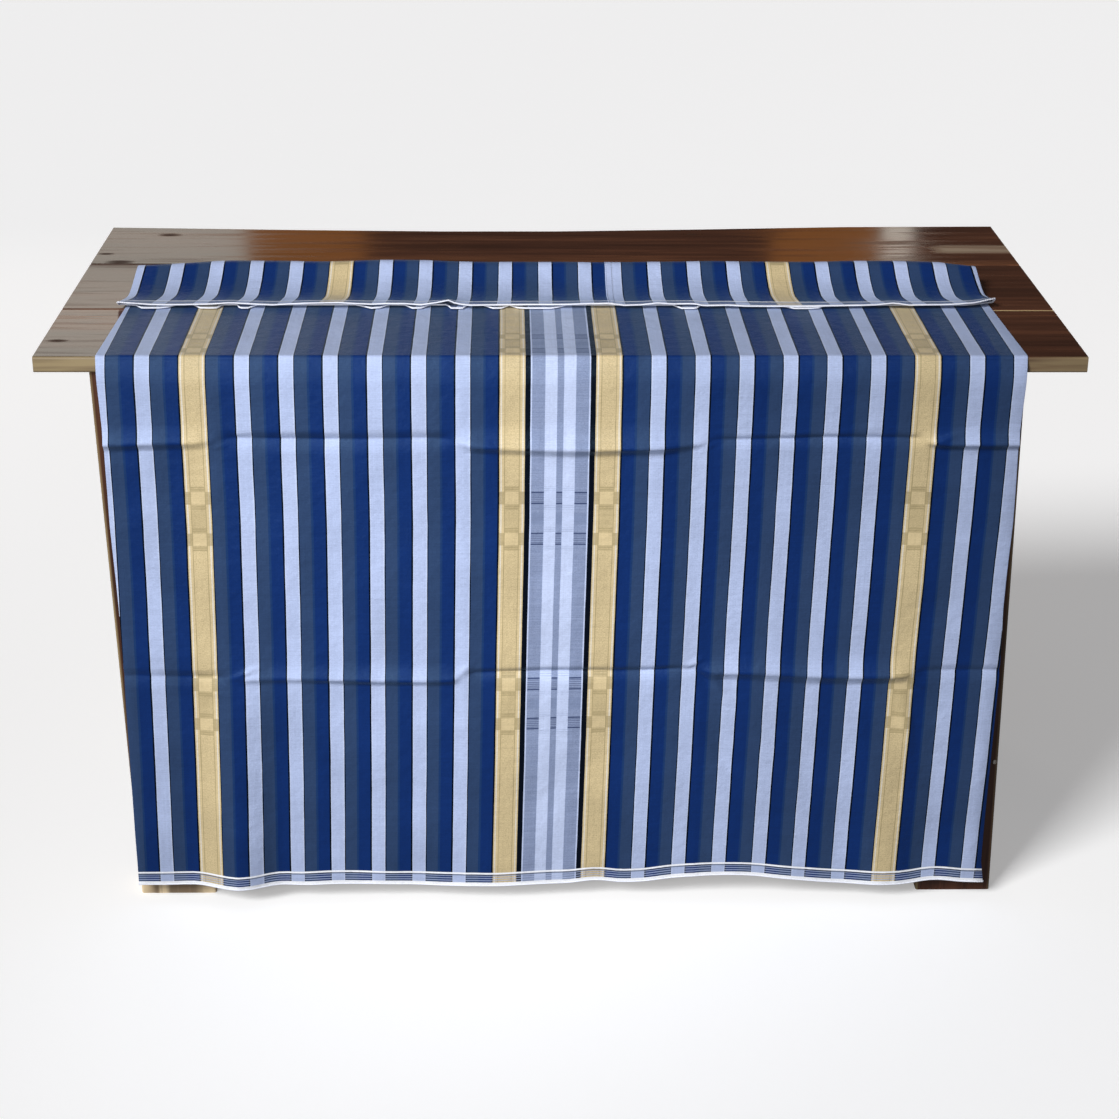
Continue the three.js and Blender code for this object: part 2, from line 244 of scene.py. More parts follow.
# %% Small wrinkles where the folds meet
WRINKLES = [  # x, height, half length, half width, forward, lean in degrees
    (-0.385, 0.297, 0.03, 0.005, 0.002, 24),
    (-0.425, 0.27, 0.035, 0.0045, 0.001, -6),
    (-0.372, 0.602, 0.032, 0.005, 0.002, -38),
    (-0.398, 0.59, 0.022, 0.0045, 0.0009, 12),
    (-0.118, 0.3, 0.024, 0.005, 0.0015, 42),
    (-0.1, 0.286, 0.02, 0.0045, -0.001, -40),
    (-0.105, 0.602, 0.026, 0.0045, 0.0012, -30),
    (0.158, 0.304, 0.03, 0.005, 0.0026, 34),
    (0.172, 0.29, 0.03, 0.0045, -0.0022, -44),
    (0.198, 0.262, 0.06, 0.011, 0.004, -62),
    (0.245, 0.205, 0.08, 0.016, 0.0046, -58),
    (0.205, 0.165, 0.07, 0.014, -0.0034, -66),
    (0.29, 0.15, 0.07, 0.018, 0.0036, -72),
    (0.176, 0.592, 0.022, 0.0045, 0.0012, 30),
    (0.35, 0.612, 0.035, 0.005, 0.001, 8),
    (0.43, 0.285, 0.026, 0.005, 0.0022, -36),
    (0.425, 0.23, 0.07, 0.014, 0.003, -80),
    (0.446, 0.6, 0.03, 0.005, 0.002, 20),
    (0.486, 0.585, 0.026, 0.0045, 0.0011, 14),
]


def wrinkles(x, height):
    total = np.zeros_like(x)
    for place, level, half_length, half_width, forward, lean in WRINKLES:
        c, s = math.cos(math.radians(lean)), math.sin(math.radians(lean))
        along = (x - place) * c + (height - level) * s
        across = (height - level) * c - (x - place) * s
        total += forward * swell(along / half_length) * swell(across / half_width)
    return total


print(len(WRINKLES), "wrinkles")

# %% Soft waves all over
def waves(x, height, seed):
    """Soft unevenness of cloth that was never stretched flat, from a few crossed waves."""
    draw = np.random.default_rng(seed)
    total = np.zeros_like(x)
    for length in (0.31, 0.19, 0.13, 0.085, 0.06):
        for _ in range(3):
            angle, phase = draw.uniform(0, np.pi), draw.uniform(0, 2 * np.pi)
            along = x * np.cos(angle) + height * np.sin(angle)
            total += length * np.sin(2 * np.pi / length * along + phase)
    return total / 0.9


across_the_middle = waves(np.linspace(-0.5, 0.5, 40), np.full(40, 0.4), 3)
print("waves from", across_the_middle.min().round(2), "to", across_the_middle.max().round(2))

# %% [markdown]
# ## Stripe coordinates
#
# Every point of the tube has two coordinates that the stripes are drawn by: the distance round the tube
# from the middle of the front panel, and the height above the lower selvedge. The tube was not laid quite
# square, so its stripes drift a little to the left on the way down and the side folds are not at the same
# stripe all along.

# %% Side folds and the drift of the stripes
ROUND = 2.149
SEAM_AT = 1.012  # round the tube from the middle of the front
SIDES = [  # height, left fold, right fold, drift at the left, at the right
    (0.0, -0.5325, 0.54, -0.014, -0.014),
    (0.03, -0.532, 0.5355, -0.0134, -0.0134),
    (0.17, -0.5318, 0.536, -0.01, -0.01),
    (0.29, -0.5308, 0.5378, -0.0076, -0.0076),
    (0.38, -0.5308, 0.5345, -0.0058, -0.0058),
    (0.49, -0.5338, 0.5368, -0.0036, -0.0036),
    (0.595, -0.5332, 0.5347, -0.0028, -0.0028),
    (0.697, -0.537, 0.5383, -0.002, -0.002),
    (0.94, -0.531, 0.531, -0.003, -0.003),
    (1.01, -0.53, 0.53, 0.003, -0.0065),
    (1.09, -0.534, 0.532, -0.001, -0.0065),
    (1.133, -0.541, 0.538, -0.004, -0.0055),
]
SIDE_COLUMNS = 5  # of the half turn between the layers
COLUMN_STEP, COLUMN_STEP_AT_FOLD, FOLD_REACH = 0.0100, 0.0034, 0.028


def across_shares():
    """Shares of the width at which the front layer has a column, closer together at the lengthwise folds."""
    left, right = read_table(SIDES, 0.5)[:2]
    places = [left]
    while places[-1] < right - 0.012:
        nearest = min(abs(places[-1] - line) for line in FOLD_LINES)
        places.append(places[-1] + (COLUMN_STEP_AT_FOLD if nearest < FOLD_REACH else COLUMN_STEP))
    places[-1] = right
    return (np.array(places) - left) / (right - left)


def ring():
    """One turn round the tube: angle round the layers, share across, and how many points are in front."""
    across = across_shares()
    back = across[::-2]
    back = np.append(back[:-1], 0.0) if back[-1] < 0.01 else np.append(back, 0.0)
    side = np.arange(1, SIDE_COLUMNS) / SIDE_COLUMNS
    angle = np.concatenate([np.zeros_like(across), 180 * side, np.full_like(back, 180), 180 + 180 * side])
    share = np.concatenate([across, np.ones_like(side), back, np.zeros_like(side)])
    return np.radians(angle), share, len(across)


# %% Rows of the cloth, closest together where it bends
SELVEDGE_ROWS = np.array([0.0, 0.0015, 0.0030, 0.0045])
ROW_STEPS = [  # height up to which the rows keep a step, and the step
    (0.018, 0.003), (0.264, 0.0105), (0.273, 0.003), (0.309, 0.002), (0.321, 0.003), (0.567, 0.0105),
    (0.576, 0.003), (0.608, 0.002), (0.620, 0.003), (DROP - 0.036, 0.010), (DROP - 0.004, 0.004),
    (EDGE_END + 0.004, 0.0011), (RUN_END - 0.006, 0.011), (SLOPE_END, 0.0026), (HEIGHT - 0.018, 0.006),
    (HEIGHT - 0.0045, 0.003),
]


def cloth_rows():
    rows = [SELVEDGE_ROWS]
    start = 0.006
    for end, step in ROW_STEPS:
        rows.append(np.linspace(start, end, max(int(round((end - start) / step)), 1), endpoint=False))
        start = end
    return np.concatenate([*rows, HEIGHT - SELVEDGE_ROWS[::-1]])


ROWS = cloth_rows()
RING_ANGLE, RING_SHARE, FRONT_COUNT = ring()
print(len(ROWS), "rows of", len(RING_ANGLE), "points")

# %% [markdown]
# ## The sarong
#
# The cloth is one closed ring of points at each row, swept along the route. The two layers lie just off the
# tube's middle, on either side, and the side folds are half turns between them. On the flap the front layer
# is underneath and the inside of the fold is shorter than the outside, so its selvedge peeps out beyond the
# upper one in places. A cloth simulation would drape it softly, but it wouldn't know where the sarong was
# once folded, so the shape is worked out from the route and the relief.

# %% The middle of the tube
def middle(x, height, front):
    """Points of the tube's middle. front is 1 on the front layer and -1 on the back one."""
    y, z = route(height)
    forward = HANG_FORWARD * smooth(1 - height / HANG_TOP)
    forward += LAYERS_PART * front * smooth(1 - height / PART_TOP)
    flute_share = (1 + BACK_FLUTE) / 2 + (1 - BACK_FLUTE) / 2 * front
    lift = np.zeros_like(x)
    for place, half_width, reach, rise, top in FLUTES:
        lean = FLUTE_LEAN * (1 - height / HANG_TOP) * np.sign(-place)
        share = smooth(1 - height / top) * swell((x - place + lean) / half_width)
        forward += reach * share * flute_share
        lift += rise * share
    lift += SOFT_LIFT * waves(x, height, 12) * smooth(1 - height / 0.12)
    hanging = smooth((DROP - height) / 0.03)
    below_edge = np.clip((DROP - height) / SHOULDER_DROP, 0, 1)
    forward += SHOULDER * below_edge * (2 - below_edge)
    uneven = SOFT_HANG * waves(x, height, 3) * smooth((DROP - height) / 0.15)
    forward += hanging * (creases(x, height) + wrinkles(x, height) + uneven)
    return np.stack([x, y - forward, z + lift], axis=-1)


low_middle = middle(np.zeros((1, 1)), np.zeros((1, 1)), np.ones((1, 1)))[0, 0]
print("middle of the lower edge at", low_middle.round(4))

# %% Relief of the flap and the raised fold
HEM_RAISE = [  # x, how far the flap's selvedge stands up
    (-0.541, 0.0049), (-0.527, 0.0049), (-0.516, 0.0022), (-0.473, 0.0014), (-0.423, 0.0028),
    (-0.404, 0.0042), (-0.353, 0.0014), (-0.316, 0.0036), (-0.267, 0.0046), (-0.236, 0.0022),
    (-0.198, 0.004), (-0.172, 0.0016), (-0.153, 0.0036), (-0.14, 0.009), (-0.127, 0.0034), (-0.111, 0.0012),
    (-0.045, 0.0022), (0.004, 0.0022), (0.053, 0.004), (0.064, 0.0038), (0.071, 0.001), (0.103, 0.002),
    (0.125, 0.005), (0.14, 0.003), (0.165, 0.0036), (0.176, 0.0008), (0.207, 0.0016), (0.23, 0.0002),
    (0.305, 0.0002), (0.365, 0.0014), (0.39, 0.002), (0.412, 0.0046), (0.429, 0.0018), (0.472, 0.0024),
    (0.51, 0.004), (0.538, 0.007),
]
PEEPS = [  # x, half width of the places where the under layer shows
    (-0.498, 0.018), (-0.43, 0.012), (-0.384, 0.009), (-0.23, 0.01), (-0.178, 0.009), (-0.126, 0.009),
    (-0.08, 0.01), (-0.028, 0.026), (0.158, 0.012), (0.3, 0.02),
]
HEM_CURL = 0.042  # height of the flap's curled stretch
FOLD_FULLNESS, FOLD_SPAN, FLAP_UNEVEN = 0.0062, 0.045, 0.0012
PEEP_FROM, PEEP_BY, PEEP_BROAD = -0.0120, 0.0148, 1.7


def flap_relief(x, height):
    """How far the flap's upper layer stands off the route: its selvedge waves and curls a little."""
    near_hem = np.clip(1 - (HEIGHT - height) / HEM_CURL, 0, 1) ** 1.4
    return read_table(HEM_RAISE, x)[0] * near_hem


def fold_relief(x, height):
    """The raised fold is fuller in the middle of the cloth than at its sides, and never quite even."""
    full = smooth((x + 0.545) / 0.13) * smooth((0.535 - x) / 0.06)
    over_fold = swell((height - (RUN_END + FOLD_END) / 2 - 0.006) / FOLD_SPAN)
    on_flap = smooth((height - RUN_END) / 0.03) * smooth((HEIGHT - height) / 0.05)
    return FOLD_FULLNESS * full * over_fold + FLAP_UNEVEN * waves(x, height, 8) * on_flap


def peep(x):
    """How much further the under layer of the flap reaches than the upper one."""
    rows = np.array(PEEPS)
    bumps = swell((x[..., None] - rows[:, 0]) / (rows[:, 1] * PEEP_BROAD)).max(axis=-1)
    return PEEP_FROM + PEEP_BY * smooth(PEEP_BROAD * bumps)


print(len(PEEPS), "places where the under layer shows")

# %% Points of the two layers
FLAP_LOFT = 0.0006  # air between the flap's two layers
END_BACK, END_FROM, END_OVER = 0.012, 0.50, 0.04  # how much shorter the flap gets at its right end
PROBE = 2e-4  # distance between points that give the cloth's direction


def cloth_points(angle, share, heights, proud=0.0):
    """Points for every row and ring place. proud lifts them off the layer's middle."""
    height = np.repeat(heights[:, None], share.shape[-1], axis=1)
    left, right = read_table(SIDES, height)[:2]
    x = left + (right - left) * share
    under = np.cos(angle)[None, :] * np.ones_like(height)
    reach = np.clip((height - FOLD_END) / (HEIGHT - FOLD_END), 0, 1)
    shorter = END_BACK * smooth((x - END_FROM) / END_OVER)
    moved = height + reach * (peep(x) * (0.5 + 0.5 * under) - shorter)
    point = middle(x, moved, under)
    sideways = middle(x + PROBE, moved, under) - middle(x - PROBE, moved, under)
    along = middle(x, moved + PROBE, under) - middle(x, moved - PROBE, under)
    normal = np.cross(sideways, along)
    normal /= np.linalg.norm(normal, axis=-1, keepdims=True)
    sideways /= np.linalg.norm(sideways, axis=-1, keepdims=True)
    offset = np.cos(angle)[None, :, None] * normal + np.sin(angle)[None, :, None] * sideways
    offset *= LAYER_OFFSET + proud
    raised = fold_relief(x, height) + (flap_relief(x, height) + reach * FLAP_LOFT) * (1 - under) / 2
    return point + offset - normal * raised[..., None]


points = cloth_points(RING_ANGLE, RING_SHARE, ROWS)
print("cloth spans", points.min(axis=(0, 1)).round(3), "to", points.max(axis=(0, 1)).round(3))


# %% Stripe coordinate round the tube
def side_stripes(heights):
    """Distances round the tube, from the front's middle, at which the cloth turns at its sides."""
    left, right, left_drift, right_drift = read_table(SIDES, heights[:, None])
    return left - left_drift, right - right_drift


def stripe_place():
    """Distance round the tube from the front's middle, for each row and ring place."""
    front_left, front_right = side_stripes(ROWS)
    front = front_left + (front_right - front_left) * RING_SHARE
    back_length = ROUND - (front_right - front_left)
    back = front_right + back_length * (1 - RING_SHARE)
    return np.where(np.arange(len(RING_SHARE)) < FRONT_COUNT, front, back)


def back_share(place, heights):
    """Share across at which the back layer has a given distance round the tube."""
    front_left, front_right = side_stripes(heights)
    return 1 - (place - front_right) / (ROUND - (front_right - front_left))


places = stripe_place()
print("stripe coordinate from", places.min().round(3), "to", places.max().round(3), "m")


# %% The cloth as a mesh
def ring_corners(rows, count):
    """Row and place of the four corners of each face between closed rings of points."""
    row, place = np.meshgrid(np.arange(rows - 1), np.arange(count), indexing="ij")
    after = (place + 1) % count
    pairs = [(row, place), (row, after), (row + 1, after), (row + 1, place)]
    return [np.stack([pair[part].ravel() for pair in pairs], axis=-1) for part in (0, 1)]


def make_cloth():
    """The sarong as a mesh, with the stripe coordinates as its UV map in metres."""
    count = points.shape[1]
    row, place = ring_corners(len(ROWS), count)
    mesh = bpy.data.meshes.new("sarong_cloth")
    mesh.from_pydata(points.reshape(-1, 3).tolist(), [], (row * count + place).tolist())
    u = places[row, place]
    u[place[:, 0] == count - 1, 1:3] += ROUND
    layer = mesh.uv_layers.new(name="stripes")
    layer.data.foreach_set("uv", np.stack([u, ROWS[row]], axis=-1).ravel())
    mesh.polygons.foreach_set("use_smooth", [True] * len(mesh.polygons))
    mesh.update()
    cloth = put("sarong_cloth", mesh)
    solid = cloth.modifiers.new("thickness", "SOLIDIFY")
    solid.thickness = CLOTH
    solid.offset = 0.0
    solid.use_even_offset = False
    return cloth


cloth = make_cloth()
print("cloth faces:", len(cloth.data.polygons))

# %% [markdown]
# ## Shader maths
#
# A finish is a tree of nodes. The small class below wraps one socket, so that a mask such as 1 - stripe can
# be written as a sum, and its node method adds any other node from a type, its inputs and its settings.

# %% A socket that can be used in sums
class Wire:
    """One socket of a node tree. Sums and products of wires add Math nodes."""

    def __init__(self, tree, socket=None):
        self.tree = tree
        self.socket = socket

    def node(self, kind, values=None, output=0, **settings):
        added = self.tree.nodes.new(kind)
        for name, setting in settings.items():
            if name == "stops":
                self.set_stops(added.color_ramp, setting)
            else:
                setattr(added, name, setting)
        for name, value in (values or {}).items():
            if isinstance(value, Wire):
                self.tree.links.new(value.socket, added.inputs[name])
            else:
                added.inputs[name].default_value = value
        return Wire(self.tree, added.outputs[output] if len(added.outputs) else None)

    @staticmethod
    def set_stops(ramp, stops):
        while len(ramp.elements) > 1:
            ramp.elements.remove(ramp.elements[-1])
        ramp.elements[0].position, ramp.elements[0].color = stops[0]
        for position, colour in stops[1:]:
            ramp.elements.new(position).color = colour

    def math(self, operation, *others, clamp=False):
        values = dict(enumerate((self, *others)))
        return self.node("ShaderNodeMath", values, operation=operation, use_clamp=clamp)

    def __add__(self, other):
        return self.math("ADD", other)

    def __sub__(self, other):
        return self.math("SUBTRACT", other)

    def __rsub__(self, other):
        return self.node("ShaderNodeMath", {0: other, 1: self}, operation="SUBTRACT")

    def __mul__(self, other):
        return self.math("MULTIPLY", other)

    __radd__ = __add__
    __rmul__ = __mul__

    def __abs__(self):
        return self.math("ABSOLUTE")

    def __mod__(self, length):
        return self.math("FLOORED_MODULO", length)

    def below(self, edge, soft=0.4):
        """1 where the value is under the edge, with a soft step."""
        return self.math("MULTIPLY_ADD", -1 / soft, edge / soft + 0.5, clamp=True)

    def above(self, edge, soft=0.4):
        return self.math("MULTIPLY_ADD", 1 / soft, -edge / soft + 0.5, clamp=True)

    def between(self, low, high, soft=0.4):
        return self.above(low, soft) * self.below(high, soft)

    def tint(self, first, second):
        """A mix of two colours with this wire as the factor."""
        return self.node("ShaderNodeMix", {0: self, 6: first, 7: second}, output=2, data_type="RGBA")


# %% Helpers for finishes
def split(vector):
    """The three parts of a vector, one wire each."""
    parts = vector.node("ShaderNodeSeparateXYZ", {0: vector}).socket.node
    return [Wire(vector.tree, part) for part in parts.outputs]


def noise(vector, scale, detail, distortion=0.0):
    values = {"Vector": vector, "Scale": scale, "Detail": detail, "Distortion": distortion}
    return vector.node("ShaderNodeTexNoise", values)


def bump(relief, strength=1.0):
    """The normal of a surface with a relief in metres."""
    return relief.node("ShaderNodeBump", {"Strength": strength, "Distance": 1.0, "Height": relief})


def object_place(start):
    return start.node("ShaderNodeTexCoord", output=3)


def colour(red, green, blue):
    """A colour given as the eye sees it, 0 to 255, as the linear colour that a shader takes."""
    parts = [part / 255 for part in (red, green, blue)]
    return (*(part / 12.92 if part < 0.0404 else ((part + 0.055) / 1.055) ** 2.4 for part in parts), 1.0)


def new_finish(name):
    finish = bpy.data.materials.new(name)
    finish.use_nodes = True
    finish.node_tree.nodes.clear()
    return finish, Wire(finish.node_tree)


def end_finish(start, shader_values):
    shader = start.node("ShaderNodeBsdfPrincipled", shader_values)
    start.node("ShaderNodeOutputMaterial", {"Surface": shader})


print("mid grey as a shader takes it:", round(colour(128, 128, 128)[0], 3))

# %% [markdown]
# ## Striped cotton
#
# The stripes are woven, so they are sharp and run from selvedge to selvedge. Their order is the same on
# both sides of the pale centre panel: a fawn band, then seven dark groups with six pale stripes between
# them, and so on round the tube. A colour ramp with sudden stops is the plainest way to write down a table
# of stripe widths.

# %% Stripe widths in millimetres and yarn colours
INK = colour(3, 4, 14)
ROYAL = colour(15, 42, 98)
BETWEEN = colour(26, 52, 97)
SLATE = colour(44, 63, 97)
PALE = colour(171, 184, 217)
PALE_EDGE = colour(182, 194, 223)
FAWN = colour(202, 183, 142)
FAWN_DARK = colour(166, 150, 112)
CREAM = colour(212, 205, 192)
CENTRE_WHITE = colour(186, 198, 228)
CENTRE_GREY = colour(138, 150, 181)
CENTRE_DIM = colour(116, 129, 160)
CENTRE_LINE = colour(62, 73, 106)
SELVEDGE = colour(244, 246, 252)

UNIT = 50.9  # a dark group and the pale stripe after it
UNIT_STRIPES = [(0.0, INK), (1.8, ROYAL), (16.0, BETWEEN), (18.6, SLATE), (32.7, INK), (33.9, PALE_EDGE),
                (35.3, PALE), (49.6, PALE_EDGE)]
FAWN_WIDTH, FAWN_INNER = 29.8, (6.8, 23.0)
FAWN_STRIPES = [(0.0, FAWN), (1.5, CREAM), (3.0, FAWN), (5.8, FAWN_DARK), (FAWN_INNER[0], FAWN),
                (FAWN_INNER[1], FAWN_DARK), (24.0, FAWN), (26.8, CREAM), (28.3, FAWN)]
CENTRE_HALF, CENTRE_WHITES, CENTRE_EDGE = 41.0, (3.7, 17.9), 33.0
CENTRE_STRIPES = [(0.0, CENTRE_GREY), (CENTRE_WHITES[0], CENTRE_WHITE), (CENTRE_WHITES[1], CENTRE_GREY),
                  (CENTRE_EDGE, CENTRE_WHITE), (34.6, INK)]
FAWN_PITCH = 369.2  # from one fawn band to the next
print("dark groups between two fawn bands:", math.ceil((FAWN_PITCH - FAWN_WIDTH) / UNIT))

# %% Sizes of the cross lines, in millimetres as the stripes
PAIR_HEIGHT, PAIR_PITCH, PAIR_HALF = 254.5, 244.0, 26.3  # cross patterns come in pairs of groups
GROUP_HALF, GROUP_END, LINE_PITCH = 8.0, 14.5, 2.4
FIRST_CROSS = 130.0  # no cross pattern below this height
SELVEDGE_BAND = 1.45  # scale of the rows of pale weft beside a selvedge
YARN = 0.42  # width of a thread of the weave
print("pairs of groups:", int((float(HEIGHT) * 1000 - FIRST_CROSS) // PAIR_PITCH), "up the cloth")


# %% Woven stripes and cross lines
def stripes_ramp(place, table, width):
    stops = [(start / width, tone) for start, tone in table]
    ramp = place.node("ShaderNodeValToRGB", {0: place * (1 / width)}, stops=stops)
    ramp.socket.node.color_ramp.interpolation = "CONSTANT"
    return ramp


def woven_pattern(across, height, uneven):
    """The stripes along the cloth, with the groups of cross lines on the fawn bands and the centre panel."""
    away = abs(across + (uneven(0.9, 0.02, 2.0, 4.0) - 0.5) * 0.9)
    repeat = (away - (CENTRE_HALF + FAWN_WIDTH)) % FAWN_PITCH
    fawn_place = repeat - (FAWN_PITCH - FAWN_WIDTH)
    plain = stripes_ramp(repeat % UNIT, UNIT_STRIPES, UNIT)
    fawn = stripes_ramp(fawn_place, FAWN_STRIPES, FAWN_WIDTH)
    centre = stripes_ramp(away, CENTRE_STRIPES, CENTRE_HALF)

    from_pair = abs((height - (PAIR_HEIGHT - PAIR_PITCH / 2)) % PAIR_PITCH - PAIR_PITCH / 2)
    from_group = abs(from_pair - PAIR_HALF)
    crossed = height.above(FIRST_CROSS)
    in_group = from_group.below(GROUP_HALF) * crossed
    beside = from_group.between(GROUP_HALF, GROUP_END) * crossed
    line_wave = ((from_group + LINE_PITCH / 2) % LINE_PITCH).between(0.8, 1.7, 0.3)
    speckle = uneven(0.55, 1.1, 1.0, 11.0).above(0.56, 0.12)

    inner = fawn_place.between(*FAWN_INNER)
    bars = beside * inner * (0.55 + 0.45 * (from_group % 3.2).between(0.2, 1.9, 0.3))
    fawn_marks = (speckle * inner * (1 - in_group) * 0.55, bars * 0.9, in_group * (1 - inner) * 0.75,
                  from_pair.below(14.0, 1.0) * crossed * inner * 0.35)
    for mark in fawn_marks:
        fawn = mark.tint(fawn, FAWN_DARK)

    grey_part = away.below(CENTRE_WHITES[0]) + away.between(CENTRE_WHITES[1], CENTRE_EDGE)
    strong = from_group.between(6.1, 7.9)
    fine = from_group.below(6.0) * line_wave * 0.7
    row_lines = uneven(0.012, 1.1, 3.0, 9.0).above(0.50, 0.14)
    centre = ((row_lines * 0.45 + speckle * 0.5) * grey_part).tint(centre, CENTRE_DIM)
    centre = ((strong + fine) * grey_part * crossed).tint(centre, CENTRE_LINE)
    centre = (beside * away.between(*CENTRE_WHITES) * line_wave * 0.45).tint(centre, CENTRE_GREY)
    centre = (from_pair.below(7.0, 2.0) * crossed * grey_part * 0.6).tint(centre, CENTRE_DIM)

    tone = repeat.above(FAWN_PITCH - FAWN_WIDTH, 0.1).tint(plain, fawn)
    return away.below(CENTRE_HALF, 0.1).tint(tone, centre)


def selvedge_rows(tone, height):
    """Fine pale rows of weft, a dark and a white line, and the white warps of the edge itself."""
    from_edge = height.math("MINIMUM", (HEIGHT * 1000.0) - height) * (1 / SELVEDGE_BAND)
    fine_rows = from_edge.between(3.9, 10.6) * ((from_edge + 0.6) % 2.3).between(0.6, 1.7, 0.3) * 0.62
    tone = fine_rows.tint(tone, PALE)
    tone = (from_edge.between(10.0, 11.4) * 0.6).tint(tone, INK)
    tone = from_edge.between(11.3, 13.0).tint(tone, SELVEDGE)
    return from_edge.below(3.3).tint(tone, SELVEDGE)


# %% The cotton finish
SHEEN = (0.36, 0.64, 1.0, 1.0)


def cotton_finish():
    finish, start = new_finish("striped_cotton")
    uv = start.node("ShaderNodeUVMap", uv_map="stripes")
    round_tube, height = (part * 1000.0 for part in split(uv)[:2])
    across = round_tube - round_tube.above(SEAM_AT * 1000.0, 0.01) * (ROUND * 1000.0)

    def uneven(scale_across, scale_height, detail, seed):
        values = {0: across * scale_across, 1: height * scale_height, 2: seed}
        return noise(start.node("ShaderNodeCombineXYZ", values), 1.0, detail)

    tone = selvedge_rows(woven_pattern(across, height, uneven), height)
    streak_rows = uneven(0.012, 0.9, 4.0, 1.0)
    streak_columns = uneven(0.9, 0.006, 4.0, 2.0)
    cloud = uneven(0.016, 0.016, 4.0, 3.0)
    grain = uneven(0.8, 0.8, 2.0, 12.0)
    slubs = uneven(0.25, 0.9, 2.0, 13.0)
    shade = streak_rows * 0.30 + streak_columns * 0.20 + cloud * 0.38 + grain * 0.26 + slubs * 0.32 + 0.25
    shade_colour = start.node("ShaderNodeCombineColor", {0: shade, 1: shade, 2: shade})
    tone = start.node("ShaderNodeMix", {0: 1.0, 6: tone, 7: shade_colour}, output=2, data_type="RGBA",
                      blend_type="MULTIPLY")

    weave = (across * (math.pi / YARN)).math("SINE") * (height * (math.pi / YARN)).math("SINE")
    slub = uneven(0.05, 2.4, 2.0, 5.0) + uneven(2.4, 0.04, 2.0, 6.0)
    relief = weave * 0.00004 + slub * 0.00010 + uneven(0.07, 0.07, 3.0, 7.0) * 0.0012
    end_finish(start, {"Base Color": tone, "Roughness": 0.30 + streak_rows * 0.12, "Normal": bump(relief),
                       "Specular IOR Level": 0.18, "Specular Tint": SHEEN, "Sheen Weight": 0.16,
                       "Sheen Roughness": 0.40, "Sheen Tint": SHEEN})
    return finish


cotton = cotton_finish()
cloth.data.materials.append(cotton)
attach(cloth, "root")
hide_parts("sarong_tube", "joining_seam")
print("nodes in the cotton finish:", len(cotton.node_tree.nodes))

# %% [markdown]
# ## Joining seam
#
# The two ends of the length of cloth are sewn together, the one lapped over the other, so a narrow raised
# strip runs from selvedge to selvedge on the back layer. The strip is laid along the cloth's own surface
# and takes its stripes from the same coordinates, so that it shows as a ridge and not as a tape.

# %% Lapped seam as a strip on the back layer
SEAM_HALF, SEAM_RISE = 0.0050, 0.0003
SEAM_SHIFT = 0.0110  # the upper end of the lap is cut in a pale stripe
SEAM_SECTION = [(-1.0, -0.0001), (-0.8, SEAM_RISE), (0.0, SEAM_RISE), (0.8, SEAM_RISE), (1.0, -0.0001)]
BACK_ANGLE = np.array([math.pi])


def seam_line(aside, proud):
    """Points along the back layer's outer side, at a distance aside from the seam's middle."""
    share = back_share(SEAM_AT + aside, ROWS)
    return cloth_points(BACK_ANGLE, share, ROWS, proud)[:, 0]


def make_seam():
    lines = [seam_line(SEAM_HALF * aside, CLOTH / 2 + proud) for aside, proud in SEAM_SECTION]
    count = len(lines)
    row, place = ring_corners(len(ROWS), count)
    faces = (row * count + place).tolist()
    faces.append(list(reversed(range(count))))
    faces.append([(len(ROWS) - 1) * count + c for c in range(count)])
    mesh = bpy.data.meshes.new("joining_seam_lap")
    mesh.from_pydata(np.stack(lines, axis=1).reshape(-1, 3).tolist(), [], faces)
    asides = np.array([SEAM_AT - SEAM_SHIFT + SEAM_HALF * aside for aside, proud in SEAM_SECTION])
    layer = mesh.uv_layers.new(name="stripes")
    corner_vertex = np.array([loop.vertex_index for loop in mesh.loops])
    uv = np.stack([asides[corner_vertex % count], ROWS[corner_vertex // count]], axis=-1)
    layer.data.foreach_set("uv", uv.ravel())
    mesh.materials.append(cotton)
    return put("joining_seam_lap", mesh)


seam = make_seam()
print("seam strip faces:", len(seam.data.polygons))

# %% [markdown]
# ## Patterns along a path
#
# Stitches and the loops of weft at a selvedge repeat hundreds of times along a line, which is work for
# Geometry Nodes. Each tree has named inputs for its sizes. It is run once on a guide line, and the result
# is kept as a plain mesh, so nothing is left to be worked out later.

# %% Building and running a tree
def new_tree(name, *sizes):
    """A Geometry Nodes tree with a named input for each size. Gives the tree and a wire for each input."""
    tree = bpy.data.node_groups.new(name, "GeometryNodeTree")
    tree.interface.new_socket("Guide", in_out="INPUT", socket_type="NodeSocketGeometry")
    for label in sizes:
        tree.interface.new_socket(label, in_out="INPUT", socket_type="NodeSocketFloat")
    tree.interface.new_socket("Result", in_out="OUTPUT", socket_type="NodeSocketGeometry")
    entry = tree.nodes.new("NodeGroupInput")
    return tree, {socket.name: Wire(tree, socket) for socket in entry.outputs if socket.name}


def end_tree(tree, shape, finish):
    whole = shape.node("GeometryNodeRealizeInstances", {0: shape})
    smooth_shape = shape.node("GeometryNodeSetShadeSmooth", {0: whole})
    dressed = shape.node("GeometryNodeSetMaterial", {0: smooth_shape, "Material": finish})
    shape.node("NodeGroupOutput", {0: dressed})
    return tree


def circle(path, corners, radius):
    values = {"Resolution": corners, "Radius": radius}
    return path.node("GeometryNodeCurvePrimitiveCircle", values, mode="RADIUS")


def sweep(path, section):
    return path.node("GeometryNodeCurveToMesh", {0: path, "Profile Curve": section})


def ball(shape, segments, rings):
    values = {"Segments": segments, "Rings": rings, "Radius": 1.0}
    return shape.node("GeometryNodeMeshUVSphere", values)


